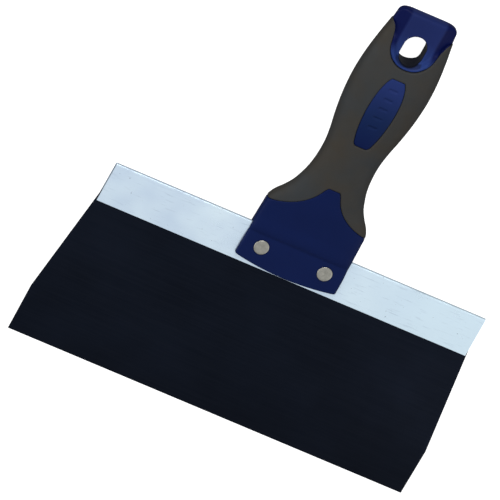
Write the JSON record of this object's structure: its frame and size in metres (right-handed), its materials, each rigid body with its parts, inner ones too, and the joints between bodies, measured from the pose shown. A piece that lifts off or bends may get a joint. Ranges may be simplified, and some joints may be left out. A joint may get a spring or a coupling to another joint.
{
  "type": "drywall taping knife",
  "caption": "Wide flat-bladed taping knife with a folded metal stiffener along the blade's back, a two-material moulded handle and a hang hole.",
  "frame": {"origin": "middle of the blade's working edge, on the blade's mid-plane", "axes": "+X along the working edge, +Y from the working edge up the handle, +Z out of the front face"},
  "size_m": [0.204, 0.2246, 0.0168],
  "materials": {
    "blade_steel": "blued spring steel, satin",
    "channel_metal": "bright rolled sheet, satin",
    "core_plastic": "dark blue moulded plastic, fine texture",
    "grip_rubber": "dark grey soft overmould, matt",
    "rivet_metal": "dull nickel, lightly scratched",
    "washer_metal": "dull nickel, lightly scratched"
  },
  "bodies": {
    "root": {"blade": "blade_steel", "backing_channel": "channel_metal", "handle_core": "core_plastic", "grip_overmould": "grip_rubber", "rivet_left": "rivet_metal", "rivet_right": "rivet_metal", "washer_left": "washer_metal", "washer_right": "washer_metal"}
  },
  "joints": []
}
